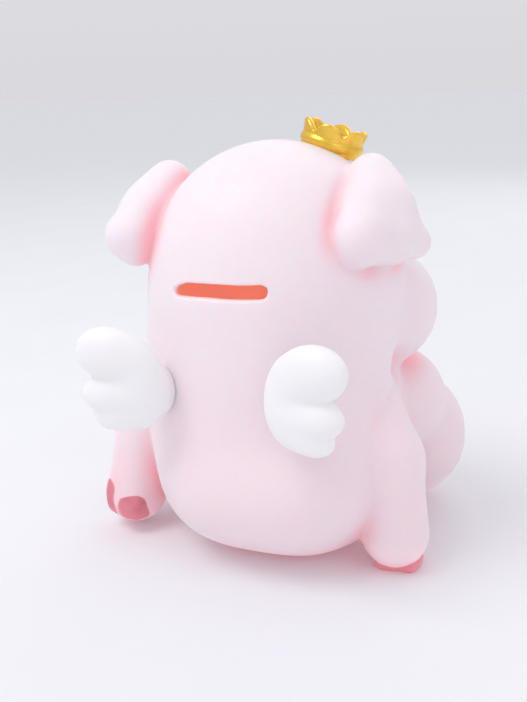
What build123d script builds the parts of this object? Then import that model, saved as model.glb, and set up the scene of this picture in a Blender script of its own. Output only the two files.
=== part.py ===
"""Winged pig coin bank: a hollow soft-vinyl figure, two wings, a small crown and a base stopper.

Millimetres. +Z is up, the pig looks along -Y, and +X is the pig's left side.
The origin is the bottom centre of the whole bank, on the surface that it stands on.
"""

import os
from math import cos, radians, sin

from build123d import *

# ---- Driving dimensions ----

WALL = 3.0                      # thickness of the vinyl skin
FLOOR_GAP = 0.3                 # hands and feet stop this far above the flat base

# Trunk and head: one turned form on an upright axis, flattened front to back.
TRUNK_Y = 5.0
TRUNK_FLATTEN = 0.89
BASE_RADIUS = 27.0              # flat ring that the bank stands on
SEAT_RADIUS, SEAT_Z = 46.0, 32.0
WAIST_RADIUS, WAIST_Z = 44.5, 66.0
HEAD_RADIUS, HEAD_TOP = 43.5, 141.0

BELLY_RADIUS, BELLY_Y, BELLY_Z = 35.0, -15.0, 42.0
CHEEK_RADIUS = 22.0
CHEEK = (33.0, -15.0, 82.0)
SNOUT_RADIUS, SNOUT_LENGTH, SNOUT_Z = 14.0, 14.0, 84.0
SNOUT_ROLL = 4.5                # rounding of the front edge

# Limbs of the pig's left side. The right side mirrors them.
ARM_RADIUS = 11.5
ARM_SHOULDER, ARM_ELBOW = (38.0, 10.0, 58.0), (46.5, 15.0, 36.0)
ARM_WRIST = (50.0, 20.0, ARM_RADIUS + FLOOR_GAP)
LEG_RADIUS = 22.0
LEG_HIP = (24.0, -11.5, LEG_RADIUS + 3.0)
LEG_ANKLE = (37.5, -39.5, LEG_RADIUS + FLOOR_GAP)
EAR_TOP, EAR_TIP, EAR_ROOT = (33.0, 1.0, 141.0), (65.0, 4.0, 104.0), (29.0, 22.0, 101.0)
EAR_THICKNESS, EAR_CORNER, EAR_ROLL = 17.0, 10.0, 8.0

SLOT_LENGTH, SLOT_HEIGHT, SLOT_Z = 34.0, 5.6, 96.5

# The stopper seats in a recess, so that it clears the table.
FLOOR_BOSS_RADIUS, FLOOR_BOSS_HEIGHT = 21.0, 7.0
RECESS_RADIUS, RECESS_DEPTH = 17.5, 3.6
STOPPER_HOLE_RADIUS = 12.0
STOPPER_FIT = 0.05              # running clearance on the radius
STOPPER_FLANGE_RADIUS, STOPPER_FLANGE = 16.0, 2.0
STOPPER_LENGTH = 7.0            # from the flange's seat to the plug's end
STOPPER_END = 1.8               # thickness of the plug's closed end
GRIP_RADIUS, GRIP_WIDTH, GRIP_DEPTH = 9.0, 3.0, 5.0

GLUE_LINE = 0.1                 # gap between the skin and what is glued on it
PEG_FIT = 0.05                  # gap around a peg in its socket
PEG_TIP_GAP = 0.4               # depth left free at a socket's end
SOCKET_END = 2.0                # wall beyond a socket
BOSS_START = 2.2                # depth under the skin where a socket's boss begins

# The pig's left wing. In its own plane X runs outward, Y up and Z towards the pig's back.
WING_CENTRE = (31.7, 53.8, 68.1)
WING_YAW = radians(12.5)        # the outer edge is swept back by this angle
WING_PLANE = Plane(
    origin=WING_CENTRE,
    x_dir=(cos(WING_YAW), sin(WING_YAW), 0),
    z_dir=(sin(WING_YAW), -cos(WING_YAW), 0),
)
WING_HALF_THICKNESS = 5.5
# Each puffed disc's outward and upward place, its distance towards the back, and its radius.
WING_DISCS = (
    (5.5, 8.0, 0.0, 10.0),      # top feather
    (5.5, -5.5, 0.0, 8.5),      # middle feather
    (3.5, -11.5, 0.5, 7.0),     # bottom feather
    (-4.0, -1.5, 0.5, 12.5),    # pad that joins them
    (-7.0, -3.0, 8.0, 9.0),     # root that reaches the skin
)
# The peg enters the rounded back square to its surface.
WING_ROOT = (23.0, 39.0, 66.0)
WING_PEG_YAW = radians(28.0)
WING_PEG_PLANE = Plane(origin=WING_ROOT, z_dir=(-sin(WING_PEG_YAW), -cos(WING_PEG_YAW), 0))
WING_PEG_RADIUS, WING_PEG_LENGTH = 3.5, 13.0
WING_BOSS_RADIUS = 6.5

# The crown sits beside the pig's right ear. Its own plane starts below the skin, which cuts it to fit.
CROWN_SINK = 3.0
CROWN_SEAT, CROWN_AXIS = (-17.7, -5.2, 132.2), (-0.28, -0.09, 0.955)
CROWN_PLANE = Plane(origin=CROWN_SEAT, z_dir=CROWN_AXIS)
CROWN_BASE_RADIUS, CROWN_RIM_RADIUS, CROWN_HEIGHT = 8.2, 9.8, 9.5
CROWN_WALL, CROWN_FLOOR, CROWN_POINTS = 1.4, 1.6, 6
CROWN_NOTCH_RADIUS = 3.6
CROWN_BAND_HEIGHT, CROWN_BAND_PROUD = 2.4, 0.5
CROWN_PEG_RADIUS, CROWN_PEG_LENGTH = 2.5, 9.0
CROWN_BOSS_RADIUS = 5.5


# ---- Forms that the skin and the cavity share ----

def trunk_and_head(inset):
    """Pear-shaped trunk and round head, drawn in by the inset and standing on their own axis."""
    seat = (SEAT_RADIUS - inset, SEAT_Z)
    waist = (WAIST_RADIUS - inset, WAIST_Z)
    temple = (HEAD_RADIUS - inset, HEAD_TOP - HEAD_RADIUS)
    base_edge = (BASE_RADIUS - inset, inset)
    top = (0, HEAD_TOP - inset)
    with BuildPart() as form:
        with BuildSketch(Plane.XZ):
            with BuildLine():
                TangentArc(seat, base_edge, tangent=(0, -1))
                ThreePointArc(seat, waist, temple)
                RadiusArc(temple, top, -(HEAD_RADIUS - inset))
                Polyline(top, (0, inset), base_edge)
            make_face()
        revolve(axis=Axis.Z)
        scale(by=(1, TRUNK_FLATTEN, 1))
    return form.part


def limb(points, radius):
    """A round limb through the points, with a ball at each end and each bend."""
    with BuildPart() as form:
        for start, end in zip(points, points[1:]):
            run = Vector(*end) - Vector(*start)
            with BuildSketch(Plane(origin=start, z_dir=run)):
                Circle(radius)
            extrude(amount=run.length)
        with Locations(*points):
            Sphere(radius)
    return form.part


def pig_form(inset):
    """The figure without ears and snout: the skin with no inset, and the cavity with the wall's."""
    trunk = trunk_and_head(inset)
    arm = limb([ARM_SHOULDER, ARM_ELBOW, ARM_WRIST], ARM_RADIUS - inset)
    leg = limb([LEG_HIP, LEG_ANKLE], LEG_RADIUS - inset)
    with BuildPart() as form:
        with Locations(CHEEK):
            Sphere(CHEEK_RADIUS - inset)
        add([arm, leg])
        mirror(about=Plane.YZ)
        with Locations((0, TRUNK_Y, 0)):
            add(trunk)
        with Locations((0, BELLY_Y, BELLY_Z)):
            Sphere(BELLY_RADIUS - inset)
    return form.part


def left_ear():
    """A floppy three-cornered ear, puffed round at its edges."""
    top, tip, root = Vector(*EAR_TOP), Vector(*EAR_TIP), Vector(*EAR_ROOT)
    ear_plane = Plane(origin=top, x_dir=tip - top, z_dir=(tip - top).cross(root - top))
    corners = [ear_plane.to_local_coords(corner) for corner in (top, tip, root)]
    through = Axis(ear_plane.origin, ear_plane.z_dir)
    with BuildPart() as form:
        with BuildSketch(ear_plane) as outline:
            with BuildLine():
                Polyline(*[(corner.X, corner.Y) for corner in corners], close=True)
            make_face()
            fillet(outline.vertices(), EAR_CORNER)
        extrude(amount=EAR_THICKNESS / 2, both=True)
        for face in (form.faces().sort_by(through)[-1], form.faces().sort_by(through)[0]):
            fillet(face.edges(), EAR_ROLL)
    return form.part


def snout():
    """A round snout with a rolled front edge, reaching from the trunk's axis to its front."""
    with BuildPart() as form:
        with BuildSketch(Plane.XZ.offset(-TRUNK_Y)):
            with Locations((0, SNOUT_Z)):
                Circle(SNOUT_RADIUS)
        extrude(amount=TRUNK_FLATTEN * HEAD_RADIUS + SNOUT_LENGTH)
        fillet(form.faces().sort_by(Axis.Y)[0].edges(), SNOUT_ROLL)
    return form.part


def puffed_disc(radius, half_thickness):
    """A flat disc with a fully rounded rim, lying in XY."""
    flat = radius - half_thickness
    with BuildPart() as form:
        with BuildSketch(Plane.XZ):
            with BuildLine():
                Polyline(
                    (flat, half_thickness),
                    (0, half_thickness),
                    (0, -half_thickness),
                    (flat, -half_thickness),
                )
                ThreePointArc((flat, -half_thickness), (radius, 0), (flat, half_thickness))
            make_face()
        revolve(axis=Axis.Z)
    return form.part


def socket_forms(plane, boss_radius, peg_radius, peg_length):
    """A boss that starts inside the skin's thickness, and the hole for a glued peg along it."""
    depth = peg_length + PEG_TIP_GAP
    with BuildPart() as boss:
        with BuildSketch(plane.offset(BOSS_START)):
            Circle(boss_radius)
        extrude(amount=depth + SOCKET_END - BOSS_START)
    with BuildPart() as hole:
        with BuildSketch(plane.offset(-WALL)):
            Circle(peg_radius + PEG_FIT)
        extrude(amount=depth + WALL)
    return boss.part, hole.part


# ---- The casting: one hollow skin from ears to feet ----

skin = pig_form(0)
cavity = pig_form(WALL)
ear = left_ear()
wing_boss, wing_socket = socket_forms(WING_PEG_PLANE, WING_BOSS_RADIUS, WING_PEG_RADIUS, WING_PEG_LENGTH)
crown_seat = Plane(CROWN_PLANE.offset(CROWN_SINK).location * Rotation(180, 0, 0))
crown_boss, crown_socket = socket_forms(crown_seat, CROWN_BOSS_RADIUS, CROWN_PEG_RADIUS, CROWN_PEG_LENGTH)

with BuildPart() as wing_bosses:
    add(wing_boss)
    mirror(about=Plane.YZ)

with BuildPart() as wing_sockets:
    add(wing_socket)
    mirror(about=Plane.YZ)

with BuildPart() as body_shell:
    add(ear)
    mirror(about=Plane.YZ)
    add(skin)
    add(snout())
    add(cavity, mode=Mode.SUBTRACT)

    # Coin slot through the back of the head.
    with BuildSketch(Plane.XZ.offset(-TRUNK_Y)):
        with Locations((0, SLOT_Z)):
            SlotOverall(SLOT_LENGTH, SLOT_HEIGHT)
    extrude(amount=-HEAD_RADIUS, mode=Mode.SUBTRACT)

    # Thick floor with the stopper's recess and hole. Each is a round tool of its radius and height.
    for radius, height, mode in (
        (FLOOR_BOSS_RADIUS, FLOOR_BOSS_HEIGHT, Mode.ADD),
        (RECESS_RADIUS, RECESS_DEPTH, Mode.SUBTRACT),
        (STOPPER_HOLE_RADIUS, FLOOR_BOSS_HEIGHT, Mode.SUBTRACT),
    ):
        with BuildSketch():
            with Locations((0, TRUNK_Y)):
                Circle(radius)
        extrude(amount=height, mode=mode)

    # Sockets for the wings and the crown.
    add([wing_bosses.part, crown_boss])
    add([wing_sockets.part, crown_socket], mode=Mode.SUBTRACT)


# ---- What is glued on: their undersides follow the skin, a glue line away ----

with BuildPart() as skin_clearance:
    with Locations((0, TRUNK_Y, 0)):
        add(trunk_and_head(-GLUE_LINE))

with BuildPart() as wing_discs:
    for outward, upward, inward, radius in WING_DISCS:
        with Locations((outward, upward, inward)):
            add(puffed_disc(radius, WING_HALF_THICKNESS))

with BuildPart() as wing_left:
    with Locations(WING_PLANE):
        add(wing_discs.part)
    add(skin_clearance.part, mode=Mode.SUBTRACT)
    with BuildSketch(WING_PEG_PLANE.offset(-WALL / 2)):
        Circle(WING_PEG_RADIUS)
    extrude(amount=WING_PEG_LENGTH + WALL / 2)

with BuildPart() as wing_right:
    mirror(wing_left.part, about=Plane.YZ)

with BuildPart() as crown_ring:
    band_radius = CROWN_BASE_RADIUS + CROWN_BAND_PROUD
    band_top = CROWN_SINK + CROWN_BAND_HEIGHT
    rim_height = CROWN_SINK + CROWN_HEIGHT
    floor_height = CROWN_SINK + CROWN_FLOOR
    with BuildSketch(Plane.XZ):
        with BuildLine():
            Polyline(
                (0, 0),
                (band_radius, 0),
                (band_radius, band_top),
                (CROWN_BASE_RADIUS, band_top),
                (CROWN_RIM_RADIUS, rim_height),
                (CROWN_RIM_RADIUS - CROWN_WALL, rim_height),
                (CROWN_BASE_RADIUS - CROWN_WALL, floor_height),
                (0, floor_height),
                close=True,
            )
        make_face()
    revolve(axis=Axis.Z)
    # Rounded notches leave the points between them.
    for index in range(CROWN_POINTS):
        turn = radians(360 / CROWN_POINTS * index)
        with BuildSketch(Plane(origin=(0, 0, rim_height), z_dir=(cos(turn), sin(turn), 0))):
            Circle(CROWN_NOTCH_RADIUS)
        extrude(amount=2 * CROWN_RIM_RADIUS, mode=Mode.SUBTRACT)

with BuildPart() as crown:
    with Locations(CROWN_PLANE):
        add(crown_ring.part)
    add(skin_clearance.part, mode=Mode.SUBTRACT)
    with BuildSketch(CROWN_PLANE.offset(CROWN_SINK + CROWN_FLOOR / 2)):
        Circle(CROWN_PEG_RADIUS)
    extrude(amount=-(CROWN_PEG_LENGTH + CROWN_FLOOR / 2))


# ---- The stopper: a flanged plug, hollow underneath, with a bar to grip ----

with BuildPart() as stopper:
    flange_bottom = RECESS_DEPTH - STOPPER_FLANGE
    plug_radius = STOPPER_HOLE_RADIUS - STOPPER_FIT
    plug_top = RECESS_DEPTH + STOPPER_LENGTH
    with BuildSketch(Plane.XY.offset(flange_bottom)):
        with Locations((0, TRUNK_Y)):
            Circle(STOPPER_FLANGE_RADIUS)
    extrude(amount=STOPPER_FLANGE)
    with BuildSketch(Plane.XY.offset(flange_bottom)):
        with Locations((0, TRUNK_Y)):
            Circle(plug_radius)
    extrude(amount=plug_top - flange_bottom)
    with BuildSketch(Plane.XY.offset(flange_bottom)):
        with Locations((0, TRUNK_Y)):
            Circle(GRIP_RADIUS)
    extrude(amount=plug_top - STOPPER_END - flange_bottom, mode=Mode.SUBTRACT)
    with BuildSketch(Plane.XY.offset(flange_bottom)):
        with Locations((0, TRUNK_Y)):
            Rectangle(2 * GRIP_RADIUS, GRIP_WIDTH)
    extrude(amount=GRIP_DEPTH)


# ---- One STEP file for each piece ----

os.makedirs("parts", exist_ok=True)
pieces = {
    "body_shell": body_shell,
    "wing_left": wing_left,
    "wing_right": wing_right,
    "crown": crown,
    "stopper": stopper,
}
for name, piece in pieces.items():
    piece.part.label = name
    export_step(piece.part, f"parts/{name}.step")

whole = Compound(children=[piece.part for piece in pieces.values()])
print("whole bank", whole.bounding_box())
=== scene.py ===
"""The winged pig coin bank's looks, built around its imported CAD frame.

The soft pieces are distance fields: rounded forms that melt into one another, meshed and then drawn onto
their exact surface. Fields are in millimetres in the figure's own space, whose origin is on the floor under
the trunk's axis, with +Z up and the pig looking along -Y. Meshes and everything else are in metres.
"""

import math

import bpy
import numpy as np
from mathutils import Matrix, Vector


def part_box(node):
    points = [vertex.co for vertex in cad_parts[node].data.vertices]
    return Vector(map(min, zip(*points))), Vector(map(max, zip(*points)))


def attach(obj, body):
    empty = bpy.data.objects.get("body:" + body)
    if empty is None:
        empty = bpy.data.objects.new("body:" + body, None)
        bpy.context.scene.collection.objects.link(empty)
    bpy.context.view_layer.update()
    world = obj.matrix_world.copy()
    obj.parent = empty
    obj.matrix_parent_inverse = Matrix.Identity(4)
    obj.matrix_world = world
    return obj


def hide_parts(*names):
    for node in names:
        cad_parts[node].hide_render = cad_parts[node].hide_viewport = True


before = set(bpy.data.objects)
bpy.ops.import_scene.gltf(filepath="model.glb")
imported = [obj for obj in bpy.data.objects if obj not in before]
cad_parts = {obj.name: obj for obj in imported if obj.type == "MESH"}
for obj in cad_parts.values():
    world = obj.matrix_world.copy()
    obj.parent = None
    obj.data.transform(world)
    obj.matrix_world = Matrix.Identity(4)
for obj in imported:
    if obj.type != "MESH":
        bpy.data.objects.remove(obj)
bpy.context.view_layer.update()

MM = 0.001
stopper_low, stopper_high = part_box("stopper")
TRUNK_AXIS = Vector(((stopper_low.x + stopper_high.x) / 2, (stopper_low.y + stopper_high.y) / 2, 0))


def box_in_mm(node):
    """A CAD node's lowest and highest corner in the figure's own space."""
    return [np.array(corner - TRUNK_AXIS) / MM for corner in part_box(node)]


# ---- Distance fields: each takes points (..., 3) and gives a distance, below 0 inside ----

def length(vectors):
    """How long each vector is."""
    return np.sqrt((vectors * vectors).sum(-1))


def folded(points, soft=0.0):
    """The points brought to the pig's left, so that one field gives both sides; soft rounds the fold."""
    left = points.copy()
    left[..., 0] = np.sqrt(left[..., 0] ** 2 + soft ** 2)
    return left


def turn(axis, degrees):
    """A rotation about one axis."""
    return np.array(Matrix.Rotation(math.radians(degrees), 3, axis))


def ellipsoid(points, centre, radii, rotation=None):
    local = points - np.array(centre)
    if rotation is not None:
        local = local @ rotation
    scaled = length(local / np.array(radii))
    slope = length(local / np.square(radii))
    return scaled * (scaled - 1) / np.maximum(slope, 1e-6)


def cushion(points, centre, radii):
    """Squarer than an ellipsoid, like a hoof."""
    local = np.abs(points - np.array(centre)) / np.array(radii)
    return ((local ** 3).sum(-1) ** (1 / 3) - 1) * min(radii)


def ball(points, centre, radius):
    return length(points - np.array(centre)) - radius


def round_cone(points, start, end, start_radius, end_radius):
    """A limb with ball ends that tapers from one radius to the other."""
    start, run = np.array(start), np.subtract(end, start)
    squared = run @ run
    taper = start_radius - end_radius
    flank = squared - taper * taper
    local = points - start
    along = local @ run
    beyond = along - squared
    across = np.square(local * squared - along[..., None] * run).sum(-1)
    near, far = along * along * squared, beyond * beyond * squared
    side = np.sign(taper) * taper * taper * across
    at_end = np.sign(beyond) * flank * far > side
    at_start = np.sign(along) * flank * near < side
    body = (np.sqrt(across * flank / squared) + along * taper) / squared - start_radius
    return np.where(
        at_end,
        np.sqrt(across + far) / squared - end_radius,
        np.where(at_start, np.sqrt(across + near) / squared - start_radius, body),
    )


def plate(points, corners, radius):
    """A filled triangle with everything within the radius of it."""
    corners = np.array(corners, float)
    edges = np.roll(corners, -1, axis=0) - corners
    normal = np.cross(edges[0], edges[1])
    offsets = [points - corner for corner in corners]
    beside = sum(np.sign(offset @ np.cross(edge, normal)) for edge, offset in zip(edges, offsets))
    to_edge = np.inf
    for edge, offset in zip(edges, offsets):
        share = np.clip(offset @ edge / (edge @ edge), 0, 1)
        to_edge = np.minimum(to_edge, length(offset - share[..., None] * edge))
    to_face = np.abs(offsets[0] @ normal) / length(normal)
    return np.where(beside < -2, to_face, to_edge) - radius


def trail(points, stops, radius):
    """A tube of one radius that runs from stop to stop."""
    runs = [round_cone(points, start, end, radius, radius) for start, end in zip(stops, stops[1:])]
    return np.minimum.reduce(runs)


def upright_cylinder(points, radius, low, high):
    """A closed cylinder about the trunk's axis, between two heights."""
    wall = length(points[..., :2]) - radius
    return np.maximum(wall, np.maximum(low - points[..., 2], points[..., 2] - high))


def blend(first, second, width):
    """The union of two fields, melted together over the width."""
    overlap = np.maximum(width - np.abs(first - second), 0) / width
    return np.minimum(first, second) - overlap ** 3 * width / 6


def carve(first, second, width):
    """The first field without the second, with its new edge rounded over the width."""
    return -blend(-first, second, width)


# ---- The pig ----
#
# A rounded form is a centre, its radii, and the width over which it melts into the forms before it.

WALL = 3.0
HEAD_TILT, NECK_Z = 2.2, 80.0    # the head leans a little to the pig's left

TRUNK = (0, 2, 50), (45, 39.5, 51)
SEAT = (14, 3.5, 28.5), (31, 43.4, 29.8), 14
SEAT_SHIFT, SEAT_FOLD = (-6, 0.5, 0), 14
HEAD = (-2.2, -3, 97), (44.4, 42, 44), 34
BELLY = (0, -20, 42), (38, 34, 36), 20
FOOT = (38, -43, 26.5), (22.5, 20, 25), 4
SNOUT = (0, -44, 84), (14.5, 9, 11.5), 5
CHEEK, CHEEK_RADIUS, CHEEK_BLEND = (32.8, -19, 82), 21.6, 5

ARM_SHOULDER, ARM_ELBOW, ARM_WRIST = (38, 5, 57), (46, 9.5, 36), (50.5, 15, 12.3)
SHOULDER_RADIUS, ARM_RADIUS = 10, 11.5
ELBOW_BLEND, ARM_BLEND = 8, 3.5
THIGH_HIP, THIGH_KNEE = (24, -12, 38), (35.5, -30.5, 44)
HIP_RADIUS, KNEE_RADIUS, THIGH_BLEND = 19, 20, 4

# Folds pressed into the skin where the head meets the trunk and where the arm leaves it.
NECK_FOLD, NECK_FOLD_RADIUS, NECK_FOLD_EDGE = (49.5, -6, 65), 9, 6
ARMPIT_FOLD = ((47.5, 2, 63), (47.2, 9.9, 58.8), (47, 12.7, 55.9), (45.2, 16.3, 52.4))
ARMPIT_FOLD_RADIUS, ARMPIT_FOLD_EDGE = 0.2, 7

EAR_TOP, EAR_ROOT, EAR_CORNER = (37.6, -4, 127.8), (41.4, 20.2, 112), (39.4, 20.4, 107.4)
EAR_MIDDLE, EAR_HEM, EAR_TIP = (44.2, 2.6, 116.2), (46.8, 9.8, 109.5), (53.2, 0.8, 106.8)
EAR_FLAP_RADIUS, EAR_FLAP_BLEND, EAR_TIP_BLEND, EAR_BLEND = 7.4, 6, 9, 4
EAR_MIDDLE_RADIUS, EAR_HEM_RADIUS, EAR_TIP_RADIUS = 7.6, 7.2, 4.2
# Rounded edges of the ear: start, end, the radius at each, and how widely the edge melts into the flap.
EAR_EDGES = (
    (EAR_ROOT, EAR_CORNER, 7.2, 5, 5),
    (EAR_CORNER, EAR_HEM, 5, 6.4, 4),
)
# Swellings of the ear at its front, its back and its middle: centre, radius and blend.
EAR_SWELLINGS = (
    ((40.6, -1.5, 123.2), 7.2, 8),
    ((39.8, 11.5, 119), 7.2, 8),
    ((42.4, 3.4, 118.6), 8.8, 9),
)
EAR_VALLEY = (
    (34.6, 5, 128.2),
    (34, 10.5, 125.8),
    (33.8, 18, 120.6),
    (34.4, 22, 115),
    (36, 24, 109.6),
    (39, 21.8, 105),
    (43.4, 16.4, 102),
)
EAR_VALLEY_RADIUS, EAR_VALLEY_EDGE = 0.9, 8

# The left hand points back, so its toes show from behind. The right hand stands on its toes.
TOES = (
    ((47.4, 20.3, 9.8), (5.2, 7, 5.4)),
    ((55.2, 18.4, 12.2), (3.6, 7, 6.8)),
    ((-48.6, 13.6, 0), (5, 6.8, 4.4)),
    ((-55, 13, 1.8), (4.2, 6.6, 4.8)),
)
FOOT_TOES = ((32, -56, 33), (44, -55, 32))
FOOT_TOE_RADII = (7.2, 9, 12)
TOE_BLEND = 1.5


def tilted(points):
    """The points as the leaning head sees them."""
    neck = np.array((0, 0, NECK_Z))
    return (points - neck) @ turn("Y", HEAD_TILT) + neck


def ear_field(points):
    """A floppy ear: a plump three-cornered cushion drawn out to a tip."""
    upper = plate(points, (EAR_TOP, EAR_MIDDLE, EAR_ROOT), EAR_FLAP_RADIUS)
    lower = plate(points, (EAR_MIDDLE, EAR_HEM, EAR_ROOT), EAR_FLAP_RADIUS)
    tip = blend(
        round_cone(points, EAR_MIDDLE, EAR_TIP, EAR_MIDDLE_RADIUS, EAR_TIP_RADIUS),
        round_cone(points, EAR_HEM, EAR_TIP, EAR_HEM_RADIUS, EAR_TIP_RADIUS),
        EAR_FLAP_BLEND,
    )
    flap = blend(blend(upper, lower, EAR_FLAP_BLEND), tip, EAR_TIP_BLEND)
    for start, end, start_radius, end_radius, width in EAR_EDGES:
        flap = blend(flap, round_cone(points, start, end, start_radius, end_radius), width)
    for centre, radius, width in EAR_SWELLINGS:
        flap = blend(flap, ball(points, centre, radius), width)
    return flap


def arm_field(points):
    return blend(
        round_cone(points, ARM_SHOULDER, ARM_ELBOW, SHOULDER_RADIUS, ARM_RADIUS),
        round_cone(points, ARM_ELBOW, ARM_WRIST, ARM_RADIUS, ARM_RADIUS),
        ELBOW_BLEND,
    )


def toes_field(points):
    """All painted toes: two on each hand and foot."""
    sides = folded(points)
    toes = [cushion(points, centre, radii) for centre, radii in TOES]
    toes += [ellipsoid(sides, centre, FOOT_TOE_RADII) for centre in FOOT_TOES]
    return np.minimum.reduce(toes)


def add_form(form, points, centre, radii, width):
    """The form with one more rounded form melted into it."""
    return blend(form, ellipsoid(points, centre, radii), width)


def figure_field(points):
    """The pig's outer form, without slot or base."""
    sides = folded(points)
    form = ellipsoid(points, *TRUNK)
    form = add_form(form, folded(points - SEAT_SHIFT, SEAT_FOLD), *SEAT)
    form = add_form(form, points, *HEAD)
    form = add_form(form, points, *BELLY)
    form = carve(form, ball(sides, NECK_FOLD, NECK_FOLD_RADIUS), NECK_FOLD_EDGE)
    form = blend(form, arm_field(sides), ARM_BLEND)
    form = carve(form, trail(sides, ARMPIT_FOLD, ARMPIT_FOLD_RADIUS), ARMPIT_FOLD_EDGE)
    form = blend(form, ball(sides, CHEEK, CHEEK_RADIUS), CHEEK_BLEND)
    form = blend(form, round_cone(sides, THIGH_HIP, THIGH_KNEE, HIP_RADIUS, KNEE_RADIUS), THIGH_BLEND)
    form = add_form(form, sides, *FOOT)
    head = folded(tilted(points))
    form = carve(form, trail(head, EAR_VALLEY, EAR_VALLEY_RADIUS), EAR_VALLEY_EDGE)
    form = blend(form, ear_field(head), EAR_BLEND)
    form = add_form(form, points, *SNOUT)
    return blend(form, toes_field(points), TOE_BLEND)


SLOT_CENTRE, SLOT_HALF_LENGTH, SLOT_HALF_HEIGHT = (0.7, 34, 97.3), 17.2, 2.35
SLOT_HALF_DEPTH = 14
# Beyond this far to the left the cut narrows and sinks, by these shares of the way.
SLOT_WORN_FROM, SLOT_NARROWING, SLOT_SINKING = 11, 0.17, 0.16
SLOT_WAVER, SLOT_WAVER_RATE, SLOT_WAVER_PHASE = 0.15, 0.21, 0.6
SLOT_EDGE, BASE_EDGE, HOLE_EDGE = 0.9, 2, 0.6
RECESS_RADIUS, RECESS_DEPTH = 17.5, 3.6
HOLE_RADIUS, FLOOR_BOSS_RADIUS, FLOOR_BOSS_HEIGHT = 12.0, 21.0, 7.0
BELOW_BASE, ABOVE_BOSS = -5, 20        # cuts start and end well clear of the skin


def slot_field(points):
    """A flat lozenge that runs through the back of the head, cut a little unevenly by hand."""
    local = tilted(points) - np.array(SLOT_CENTRE)
    left = np.maximum(local[..., 0] - SLOT_WORN_FROM, 0)
    waver = SLOT_WAVER * np.sin(SLOT_WAVER_RATE * local[..., 0] + SLOT_WAVER_PHASE) - SLOT_SINKING * left
    reach = np.maximum(np.abs(local[..., 0]) - (SLOT_HALF_LENGTH - SLOT_HALF_HEIGHT), 0)
    ring = np.sqrt(reach ** 2 + (local[..., 2] - waver) ** 2) - SLOT_HALF_HEIGHT + SLOT_NARROWING * left
    return np.maximum(ring, np.abs(local[..., 1]) - SLOT_HALF_DEPTH)


def skin_field(points):
    """The hollow casting, with the coin slot and the base for the stopper."""
    outer = carve(figure_field(points), points[..., 2], BASE_EDGE)
    shell = np.maximum(outer, -(outer + WALL))
    boss = upright_cylinder(points, FLOOR_BOSS_RADIUS, 0, FLOOR_BOSS_HEIGHT)
    shell = np.minimum(shell, np.maximum(boss, outer))
    shell = carve(shell, upright_cylinder(points, RECESS_RADIUS, BELOW_BASE, RECESS_DEPTH), HOLE_EDGE)
    shell = carve(shell, upright_cylinder(points, HOLE_RADIUS, BELOW_BASE, ABOVE_BOSS), HOLE_EDGE)
    return carve(shell, slot_field(points), SLOT_EDGE)


# ---- The wings: a left one whose field is mirrored for the right ----

WING_CENTRE = (31.7, 48.8, 68.6)
WING_SWEEP = 12.5
# Feathers from top to bottom: centre, radii and how many degrees the outer end is raised.
WING_LOBES = (
    ((3, 0, 8), (12.2, 6.2, 9.2), 12),
    ((3, 0, -5.5), (10.8, 5.8, 7), 3),
    ((1, -0.3, -11.8), (9.4, 5, 6), -10),
)
WING_PAD = (-5.5, -1, -2.5), (9, 6.2, 14.5), 5
WING_ROOT = (-8.5, -7, -6), (7, 8, 9), 6
FEATHER_BLEND = 2.5


def wing_field(points):
    """Three plump feathers that join towards the root. Its own X runs outward and Y behind."""
    local = (folded(points) - np.array(WING_CENTRE)) @ turn("Z", WING_SWEEP)
    lobes = [ellipsoid(local, centre, radii, turn("Y", -lift)) for centre, radii, lift in WING_LOBES]
    feathers = lobes[0]
    for lobe in lobes[1:]:
        feathers = blend(feathers, lobe, FEATHER_BLEND)
    return add_form(add_form(feathers, local, *WING_PAD), local, *WING_ROOT)


# ---- The crown: petals that flare out of a band ----

crown_low, crown_high = box_in_mm("crown")
CROWN_AXIS = Vector((-0.28, -0.09, 0.955)).normalized()
CROWN_RIM, CROWN_HEIGHT = 10.1, 7.8
CROWN_SHIFT, CROWN_LIFT = (0.7, -6), 1.4    # from the CAD crown's place, in x and y and upwards
rim_lean = CROWN_RIM * math.sqrt(1 - CROWN_AXIS.z ** 2)
CROWN_TOP = (
    (crown_low[0] + crown_high[0]) / 2 + CROWN_SHIFT[0],
    (crown_low[1] + crown_high[1]) / 2 + CROWN_SHIFT[1],
    crown_high[2] - rim_lean + CROWN_LIFT,
)
CROWN_TURN = np.array(CROWN_AXIS.to_track_quat("Z", "Y").to_matrix())
CROWN_PHASE = 12                # degrees that the petals are turned by

PETALS, PETAL_DIP, PETAL_BULGE, PETAL_TIP_DROP = 6, 3.3, 0.45, 0.4
WALL_FOOT_RADIUS, WALL_FLARE, WALL_FLARE_POWER, WALL_FLARE_TOP = 9.0, 1.0, 1.6, 11
WALL_HALF, WALL_ROUNDING = 1.15, 1.0
WALL_SINK = 2.4                 # how far the wall reaches down into the head
BAND_RADIUS, BAND_Z, BAND_SQUASH, BAND_HALF = 9.5, 0.9, 0.8, 1.7
FLOOR_RADIUS, FLOOR_Z, FLOOR_HALF = 9, 1, 2.4


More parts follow.
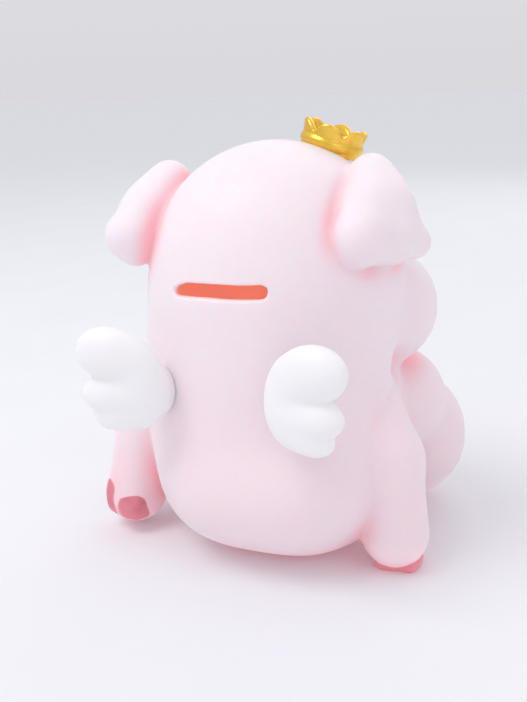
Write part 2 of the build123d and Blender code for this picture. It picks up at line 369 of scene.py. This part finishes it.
def crown_field(points):
    """In its own space Z runs up the crown from its base."""
    local = (points - np.array(CROWN_TOP)) @ CROWN_TURN
    height = local[..., 2] + CROWN_HEIGHT
    radius = length(local[..., :2])
    bearing = np.arctan2(local[..., 1], local[..., 0]) + math.radians(CROWN_PHASE)
    petal = np.abs(np.cos(PETALS / 2 * bearing))
    rise = np.clip(height, 0, WALL_FLARE_TOP) / CROWN_HEIGHT
    flare = WALL_FOOT_RADIUS + WALL_FLARE * rise ** WALL_FLARE_POWER + PETAL_BULGE * petal
    top = CROWN_HEIGHT - PETAL_DIP * (1 - petal) - PETAL_TIP_DROP
    across = np.abs(radius - flare) - WALL_HALF + WALL_ROUNDING
    above = height - top + WALL_ROUNDING
    wall = length(np.stack([np.maximum(across, 0), np.maximum(above, 0)], -1)) - WALL_ROUNDING
    wall = np.maximum(wall, -height - WALL_SINK)
    band = length(np.stack([radius - BAND_RADIUS, (height - BAND_Z) * BAND_SQUASH], -1)) - BAND_HALF
    floor = np.maximum(radius - FLOOR_RADIUS, np.abs(height - FLOOR_Z) - FLOOR_HALF)
    return np.minimum(np.minimum(wall, floor), band)


# ---- From a field to a mesh ----

def graded(low, high, step, fine=()):
    """Grid lines from low to high at the step, closer inside each fine (low, high, step) band."""
    lines = [low]
    while lines[-1] < high:
        closer = [band[2] for band in fine if band[0] <= lines[-1] < band[1]]
        lines.append(lines[-1] + min([step] + closer))
    return np.array(lines)


def crossings(values, cells, corner, step):
    """Where the field changes sign along one edge of each cell, as a share of that edge."""
    low = values[tuple((cells + corner).T)]
    high = values[tuple((cells + corner + step).T)]
    crossed = (low < 0) != (high < 0)
    return crossed, np.where(crossed, low / np.where(crossed, low - high, 1), 0)


def cell_points(values, cells):
    """One point in each crossed cell: the middle of the crossings on its edges, in grid units."""
    total, count = np.zeros((len(cells), 3)), np.zeros(len(cells))
    for axis in range(3):
        step = np.eye(3, dtype=int)[axis]
        across, up = np.delete(np.eye(3, dtype=int), axis, axis=0)
        for corner in (0 * up, across, up, across + up):
            crossed, share = crossings(values, cells, corner, step)
            total[crossed] += (corner + share[:, None] * step)[crossed]
            count[crossed] += 1
    return cells + total / count[:, None]


def cell_quads(inside, index):
    """A quad round each grid edge that the surface crosses, facing outwards."""
    quads = []
    for axis in range(3):
        step, across, up = np.roll(np.eye(3, dtype=int), -axis, axis=0)
        low = inside[tuple(slice(0, size - shift) for size, shift in zip(inside.shape, step))]
        high = inside[tuple(slice(shift, None) for shift in step)]
        edges = np.argwhere(low != high)
        ring = np.stack([index[tuple((edges - back).T)] for back in (across + up, up, 0 * up, across)], 1)
        entering = ~low[tuple(edges.T)]
        ring[entering] = ring[entering][:, ::-1]
        quads.append(ring)
    return np.concatenate(quads)


def gradient(field, points, reach=0.15):
    """The field's slope at each point, felt for a little way to either side."""
    rises = [field(points + offset) - field(points - offset) for offset in np.eye(3) * reach]
    return np.stack(rises, -1) / (2 * reach)


NEWTON_SHARE, LEAST_STEEPNESS = 0.8, 0.1    # kept short of a full step, so that no point overshoots


def surface(field, axes, rounds=4):
    """Points and quads of the field's surface, drawn onto it by a few Newton steps."""
    values = np.stack([field(np.stack(np.meshgrid([x], *axes[1:], indexing="ij"), -1)[0]) for x in axes[0]])
    inside = values < 0
    cells_each_way = np.array(inside.shape) - 1
    corners = sum(
        inside[tuple(slice(shift, shift + size) for shift, size in zip(corner, cells_each_way))].astype(int)
        for corner in np.ndindex(2, 2, 2)
    )
    crossed = (corners > 0) & (corners < 8)
    index = np.full(crossed.shape, -1)
    index[crossed] = np.arange(crossed.sum())
    grid = cell_points(values, np.argwhere(crossed))
    places = [np.interp(grid[:, axis], np.arange(len(lines)), lines) for axis, lines in enumerate(axes)]
    points = np.stack(places, -1)
    for _ in range(rounds):
        slope = gradient(field, points)
        steepness = np.maximum((slope * slope).sum(-1), LEAST_STEEPNESS)
        points = points - NEWTON_SHARE * (field(points) / steepness)[:, None] * slope
    return points, cell_quads(inside, index)


def outward(field, points):
    """Unit vectors that point straight out of the surface."""
    slope = gradient(field, points)
    return slope / np.maximum(length(slope), 1e-6)[:, None]


DEEPEST_NOOK = 1.2


def nooks(field, points, reach):
    """How deep each point lies between two forms, from 0 in the open."""
    return np.clip(1 - field(points + reach * outward(field, points)) / reach, 0, DEEPEST_NOOK)


def link(name, mesh):
    made = bpy.data.objects.new(name, mesh)
    bpy.context.scene.collection.objects.link(made)
    return made


def piece(name, node, points, quads, material):
    """A smooth-shaded piece from figure-space points, standing for a CAD node of the figure."""
    mesh = bpy.data.meshes.new(name)
    mesh.from_pydata((points * MM + np.array(TRUNK_AXIS)).tolist(), [], quads.tolist())
    mesh.polygons.foreach_set("use_smooth", [True] * len(mesh.polygons))
    mesh.materials.append(material)
    made = link(name, mesh)
    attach(made, "figure")
    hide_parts(node)
    return made


def softened(values, quads, rounds):
    """The values at a mesh's points, shared with their neighbours again and again."""
    here, there = quads.ravel(), np.roll(quads, -1, axis=1).ravel()
    size = len(values)
    neighbours = np.bincount(here, minlength=size) + np.bincount(there, minlength=size)
    for _ in range(rounds):
        total = np.bincount(here, values[there], size) + np.bincount(there, values[here], size)
        values = (values + total / neighbours) / 2
    return values


def store(made, name, values):
    """Keeps one number for each of the piece's points, for its material to read."""
    layer = made.data.attributes.new(name, "FLOAT", "POINT")
    layer.data.foreach_set("value", np.asarray(values, np.float32))


# ---- Materials ----

class Paint:
    """A material under construction, with a short way to add and wire its nodes."""

    def __init__(self, name):
        self.material = bpy.data.materials.new(name)
        self.material.use_nodes = True
        self.tree = self.material.node_tree
        self.shader = self.tree.nodes["Principled BSDF"]
        self.place = self.node("ShaderNodeTexCoord").outputs["Object"]

    def node(self, kind, **settings):
        made = self.tree.nodes.new(kind)
        for name, value in settings.items():
            setattr(made, name, value)
        return made

    def put(self, socket, value):
        """Wires an output to the socket, or sets the socket to a plain value."""
        if isinstance(value, bpy.types.NodeSocket):
            self.tree.links.new(value, socket)
        else:
            socket.default_value = value

    def set(self, **inputs):
        """Sets the shader's inputs, with _ for each space in their names."""
        for name, value in inputs.items():
            self.put(self.shader.inputs[name.replace("_", " ")], value)

    def noise(self, size_mm, detail=2.0, roughness=0.5):
        made = self.node("ShaderNodeTexNoise")
        self.put(made.inputs["Vector"], self.place)
        self.put(made.inputs["Scale"], 1 / (size_mm * MM))
        self.put(made.inputs["Detail"], detail)
        self.put(made.inputs["Roughness"], roughness)
        return made.outputs["Fac"]

    def stored(self, name):
        return self.node("ShaderNodeAttribute", attribute_name=name).outputs["Fac"]

    def ramp(self, value, low, high, to_low=0.0, to_high=1.0):
        """The value carried from one range to another, smoothly and never beyond it."""
        made = self.node("ShaderNodeMapRange", interpolation_type="SMOOTHSTEP")
        names = ("Value", "From Min", "From Max", "To Min", "To Max")
        for name, part in zip(names, (value, low, high, to_low, to_high)):
            self.put(made.inputs[name], part)
        return made.outputs["Result"]

    def mix(self, factor, first, second):
        made = self.node("ShaderNodeMix", data_type="RGBA")
        self.put(made.inputs["Factor"], factor)
        for name, colour in (("A", first), ("B", second)):
            self.put(made.inputs[name], colour if isinstance(colour, bpy.types.NodeSocket) else (*colour, 1))
        return made.outputs["Result"]

    def bump(self, *layers):
        """Adds (height, depth in mm, strength) layers on top of one another."""
        normal = None
        for height, depth_mm, strength in layers:
            made = self.node("ShaderNodeBump")
            self.put(made.inputs["Height"], height)
            self.put(made.inputs["Distance"], depth_mm * MM)
            self.put(made.inputs["Strength"], strength)
            if normal is not None:
                self.put(made.inputs["Normal"], normal)
            normal = made.outputs["Normal"]
        self.set(Normal=normal)


def vinyl(name, colour, shade, roughness=0.42):
    """Soft matt vinyl: a faintly clouded colour, a fine moulded texture and a waxy depth."""
    paint = Paint(name)
    clouds = paint.noise(22, detail=3)
    paint.set(
        Base_Color=paint.mix(paint.ramp(clouds, 0.35, 0.75), colour, shade),
        Roughness=paint.ramp(paint.noise(6, detail=4), 0.3, 0.7, roughness - 0.04, roughness + 0.06),
    )
    paint.bump((paint.noise(2.2, detail=3), 0.05, 0.6), (paint.noise(0.35), 0.012, 0.5))
    return paint


PALE, CLOUD, ROSY_SHADE = (0.915, 0.84, 0.88), (0.91, 0.825, 0.865), (0.905, 0.785, 0.825)
# Painted shade: a deeper pink laid into folds and broad hollows.
FOLD_SHADE = (0.92, 0.46, 0.50)
# The first colour below is painted light: the salmon glow of light shining through the thin vinyl onto its
# inner surface.
INNER_GLOW_TONE, HOOF, HOOF_DARK = (0.82, 0.50, 0.44), (0.72, 0.27, 0.32), (0.66, 0.22, 0.28)
BLUSH, BLACK = (0.92, 0.45, 0.52), (0.025, 0.012, 0.014)
FOLD_LIGHT, INSIDE_LIGHT = (0.95, 0.32, 0.36), (0.68, 0.29, 0.21)
PALE_ABOVE, ROSY_SHADE_BELOW = 0.11, 0.04     # heights in metres between which the skin is painted rosier and darker, as painted shade lower down

# Where a stored value's colour sets in and is full, and how much of it there is at each.
HOLLOW_RAMP, CREASE_RAMP, BLUSH_RAMP = (0.1, 0.7, 0, 0.32), (0.15, 1.0, 0, 0.6), (0, 1, 0, 0.5)
INSIDE_RAMP, NOOK_RAMP = (0.2, 0.8), (0.1, 0.7, 0, 0.85)
TOE_EDGE, FEATURE_EDGE = 0.15, 0.12     # how soft painted edges are, in mm to either side


def skin_paint():
    """Pink vinyl with painted shade, rosier lower down and deeper pink in its folds and hollows, and painted
    glow inside and in its folds, with sprayed cheeks and painted toes, eyes and nostrils.
    """
    paint = vinyl("pink_vinyl", PALE, CLOUD)
    height = paint.node("ShaderNodeSeparateXYZ")
    paint.put(height.inputs["Vector"], paint.place)
    colour = paint.shader.inputs["Base Color"].links[0].from_socket
    # Painted shade: lower down, the skin is painted rosier and darker.
    colour = paint.mix(paint.ramp(height.outputs["Z"], PALE_ABOVE, ROSY_SHADE_BELOW), colour, ROSY_SHADE)
    # Painted shade in broad hollows and in folds, a deeper pink.
    colour = paint.mix(paint.ramp(paint.stored("hollow"), *HOLLOW_RAMP), colour, FOLD_SHADE)
    colour = paint.mix(paint.ramp(paint.stored("crease"), *CREASE_RAMP), colour, FOLD_SHADE)
    colour = paint.mix(paint.ramp(paint.stored("blush"), *BLUSH_RAMP), colour, BLUSH)
    # Painted light: the inner surface takes the salmon of light shining through the vinyl.
    colour = paint.mix(paint.ramp(paint.stored("inside"), *INSIDE_RAMP), colour, INNER_GLOW_TONE)
    worn = paint.ramp(paint.noise(4, detail=4), 0.35, 0.7)
    hoof = paint.mix(worn, HOOF, HOOF_DARK)
    colour = paint.mix(paint.ramp(paint.stored("toes"), TOE_EDGE, -TOE_EDGE), colour, hoof)
    dark = paint.ramp(paint.stored("features"), FEATURE_EDGE, -FEATURE_EDGE)
    colour = paint.mix(dark, colour, BLACK)
    paint.set(
        Base_Color=colour,
        Specular_IOR_Level=0.25,
        Subsurface_Weight=paint.ramp(dark, 0, 1, 1.0, 0.0),
        Subsurface_Radius=(1.0, 0.4, 0.3),
        Subsurface_Scale=0.0015,
        # Painted glow: emission stands in for light shining through the vinyl, inside it, in its folds and
        # near the floor.
        Emission_Color=paint.mix(paint.stored("inside"), FOLD_LIGHT, INSIDE_LIGHT),
        Emission_Strength=paint.stored("glow"),
    )
    return paint.material


WHITE, WHITE_SHADE = (0.93, 0.935, 0.95), (0.915, 0.92, 0.94)


def wing_paint():
    """The same vinyl in white, with less depth."""
    paint = vinyl("white_vinyl", WHITE, WHITE_SHADE, roughness=0.38)
    paint.set(Subsurface_Weight=0.6, Subsurface_Radius=(1.0, 0.9, 0.85), Subsurface_Scale=0.002)
    return paint.material


GOLD, GOLD_DEEP, GOLD_NOOK_SHADE = (0.95, 0.62, 0.10), (0.88, 0.53, 0.07), (0.55, 0.25, 0.03)


def gold_paint():
    """Satin gold paint, deeper where it pooled, with painted shade that browns its nooks, and fine brush
    unevenness.
    """
    paint = Paint("gold_paint")
    pooled = paint.ramp(paint.noise(9, detail=2), 0.35, 0.7)
    colour = paint.mix(pooled, GOLD, GOLD_DEEP)
    paint.set(
        # Painted shade: the crown's nooks are darkened to brown.
        Base_Color=paint.mix(paint.ramp(paint.stored("nook"), *NOOK_RAMP), colour, GOLD_NOOK_SHADE),
        Metallic=1.0,
        Roughness=paint.ramp(paint.noise(3, detail=3), 0.3, 0.7, 0.22, 0.28),
    )
    paint.bump((paint.noise(5, detail=2), 0.03, 0.2), (paint.noise(0.3), 0.003, 0.15))
    return paint.material


# ---- Build the pieces ----

# Each grid runs from clear of its piece on one side to clear of it on the other, on every axis.
COARSE = 1.15
SKIN_GRID = (-66, 66), (-72, 50), (-3, 146)
FINE_ROUND_SLOT = (91, 102, 0.6)
WING_STEP, CROWN_STEP = 0.75, 0.34
WING_INNER_X, WING_OUTER_X = 8, 58
WING_GRID_Y, WING_GRID_Z = (26, 64), (42, 94)
CROWN_GRID_BELOW, CROWN_GRID_ABOVE = 8, 6      # how far past the CAD crown's box

# Folds, broad hollows and the crown's nooks, which carry painted shade and the folds' painted glow: how far
# out each is felt for, and how much it is softened.
FOLD_REACH, FOLD_SOFTENING = 6, 12
HOLLOW_REACH, HOLLOW_SOFTENING = 14, 30
NOOK_REACH, NOOK_SOFTENING = 1.4, 5
INSIDE_FROM, INSIDE_FADE = 1.6, 1.2     # depth in the skin where the inside's painted light colour sets in
INSIDE_ABOVE = FLOOR_BOSS_HEIGHT + 1    # below this height the cut base keeps the outside's colour
TOE_MARGIN = 0.45                       # how far the hoof paint reaches past a toe's own form
INSIDE_GLOW, FOLD_GLOW, BASE_GLOW = 0.34, 0.10, 0.2
BASE_GLOW_TOP, FOLD_GLOW_FROM = 14, 0.1
BLUSH_CENTRE, BLUSH_RADIUS = (33, -36, 88), 12
EYE = (18, -42, 100), (2.6, 8, 3.5)
NOSTRIL = (5, -53, 84), (1.6, 6, 2.6)


def skin_piece():
    across, along, up = SKIN_GRID
    axes = (
        graded(*across, COARSE),
        graded(*along, COARSE),
        graded(*up, COARSE, fine=(FINE_ROUND_SLOT,)),
    )
    points, quads = surface(skin_field, axes)
    skin = piece("pig_skin", "body_shell", points, quads, skin_paint())
    # How deep each point lies in a fold or broad hollow, which the material turns into painted shade and
    # painted glow.
    crease = softened(nooks(figure_field, points, FOLD_REACH), quads, FOLD_SOFTENING)
    depth = -figure_field(points)
    inside = np.clip((depth - INSIDE_FROM) / INSIDE_FADE, 0, 1) * (points[:, 2] > INSIDE_ABOVE)
    underside = np.clip(1 - points[:, 2] / BASE_GLOW_TOP, 0, 1)
    outside_glow = FOLD_GLOW * np.clip(crease - FOLD_GLOW_FROM, 0, 1) + BASE_GLOW * underside
    store(skin, "crease", crease)
    store(skin, "hollow", softened(nooks(figure_field, points, HOLLOW_REACH), quads, HOLLOW_SOFTENING))
    store(skin, "inside", inside)
    store(skin, "glow", np.where(inside > 0, INSIDE_GLOW * inside, outside_glow))
    store(skin, "toes", toes_field(points) - TOE_MARGIN)
    cheeks = ball(folded(points), BLUSH_CENTRE, 0)
    store(skin, "blush", np.clip(1 - cheeks / BLUSH_RADIUS, 0, 1))
    eyes = ellipsoid(folded(points), *EYE)
    nostrils = ellipsoid(folded(points), *NOSTRIL)
    store(skin, "features", np.minimum(eyes, nostrils))


def wing_piece(name, node, low_x, high_x, material):
    """The wing whose x lies between the two."""
    axes = (
        graded(low_x, high_x, WING_STEP),
        graded(*WING_GRID_Y, WING_STEP),
        graded(*WING_GRID_Z, WING_STEP),
    )
    points, quads = surface(wing_field, axes)
    piece(name, node, points, quads, material)


def crown_piece():
    low, high = crown_low - CROWN_GRID_BELOW, crown_high + CROWN_GRID_ABOVE
    axes = tuple(graded(low[axis], high[axis], CROWN_STEP) for axis in range(3))
    points, quads = surface(crown_field, axes)
    crown = piece("gold_crown", "crown", points, quads, gold_paint())
    # How deep each point lies in a nook of the crown, for its painted shade.
    store(crown, "nook", softened(nooks(crown_field, points, NOOK_REACH), quads, NOOK_SOFTENING))


NATURAL, NATURAL_SHADE = (0.90, 0.86, 0.84), (0.86, 0.81, 0.79)


def paint_stopper():
    """The stopper keeps its CAD shape."""
    paint = vinyl("stopper_vinyl", NATURAL, NATURAL_SHADE, roughness=0.45)
    paint.set(Subsurface_Weight=0.5, Subsurface_Radius=(1.0, 0.7, 0.6), Subsurface_Scale=0.002)
    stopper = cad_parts["stopper"]
    stopper.data.materials.clear()
    stopper.data.materials.append(paint.material)


skin_piece()
white = wing_paint()
wing_piece("white_wing_left", "wing_left", WING_INNER_X, WING_OUTER_X, white)
wing_piece("white_wing_right", "wing_right", -WING_OUTER_X, -WING_INNER_X, white)
crown_piece()
paint_stopper()

# ---- Stage, light and camera ----

FLOOR_HALF_WIDTH = 6.0
FLOOR_DARK, FLOOR_LIGHT = (0.83, 0.845, 0.875), (0.87, 0.885, 0.905)
SKY = (0.95, 0.935, 0.985)
HORIZON_GLOW, CEILING_GLOW, CEILING_FROM = 0.74, 0.86, 0.4


def floor_piece():
    """A plain pale floor, a little uneven in tone."""
    paint = Paint("floor")
    paint.set(
        Base_Color=paint.mix(paint.noise(60, detail=5), FLOOR_DARK, FLOOR_LIGHT),
        Roughness=0.85,
    )
    signs = ((-1, -1), (1, -1), (1, 1), (-1, 1))
    corners = [(x * FLOOR_HALF_WIDTH, y * FLOOR_HALF_WIDTH, 0) for x, y in signs]
    floor_mesh = bpy.data.meshes.new("floor")
    floor_mesh.from_pydata(corners, [], [(0, 1, 2, 3)])
    floor_mesh.materials.append(paint.material)
    link("floor", floor_mesh)


CENTRE = TRUNK_AXIS + Vector((1.2, 4, 68.4)) * MM


def aim(made, azimuth, elevation, distance, roll=0.0):
    """Puts a light or camera round the pig: azimuth 0 is straight behind it, and grows to its right."""
    azimuth, elevation = math.radians(azimuth), math.radians(elevation)
    towards = Vector((
        -math.cos(elevation) * math.sin(azimuth),
        math.cos(elevation) * math.cos(azimuth),
        math.sin(elevation),
    ))
    made.location = CENTRE + towards * distance
    turned = towards.to_track_quat("Z", "Y").to_matrix() @ Matrix.Rotation(math.radians(roll), 3, "Z")
    made.rotation_euler = turned.to_euler()


def softbox(name, azimuth, elevation, distance, width, watts, colour=(1, 1, 1)):
    light = bpy.data.lights.new(name, "AREA")
    light.shape = "DISK"
    light.size = width
    light.energy = watts
    light.color = colour
    aim(link(name, light), azimuth, elevation, distance)


def studio_world():
    """An even white room that is a little darker towards the horizon, where it meets the floor's tone."""
    world = bpy.data.worlds.new("studio")
    world.use_nodes = True
    tree = world.node_tree
    background = tree.nodes["Background"]
    background.inputs["Color"].default_value = (*SKY, 1)
    direction = tree.nodes.new("ShaderNodeTexCoord")
    parts = tree.nodes.new("ShaderNodeSeparateXYZ")
    glow = tree.nodes.new("ShaderNodeMapRange")
    for name, value in (("From Max", CEILING_FROM), ("To Min", HORIZON_GLOW), ("To Max", CEILING_GLOW)):
        glow.inputs[name].default_value = value
    tree.links.new(direction.outputs["Generated"], parts.inputs["Vector"])
    tree.links.new(parts.outputs["Z"], glow.inputs["Value"])
    tree.links.new(glow.outputs["Result"], background.inputs["Strength"])
    bpy.context.scene.world = world


floor_piece()
softbox("key", azimuth=-45, elevation=58, distance=0.9, width=0.5, watts=2.3, colour=(1.0, 0.99, 0.98))
softbox("fill", azimuth=45, elevation=17, distance=1.0, width=0.6, watts=0.4, colour=(1.0, 0.72, 0.78))
softbox("face_fill", azimuth=175, elevation=35, distance=1.1, width=0.9, watts=1.1)
studio_world()
bpy.context.scene.view_settings.view_transform = "Standard"

camera = bpy.data.cameras.new("camera")
camera.lens = 50
camera.sensor_width = 36
camera_object = link("camera", camera)
aim(camera_object, azimuth=24.2, elevation=16, distance=0.344, roll=-1.7)
bpy.context.scene.camera = camera_object
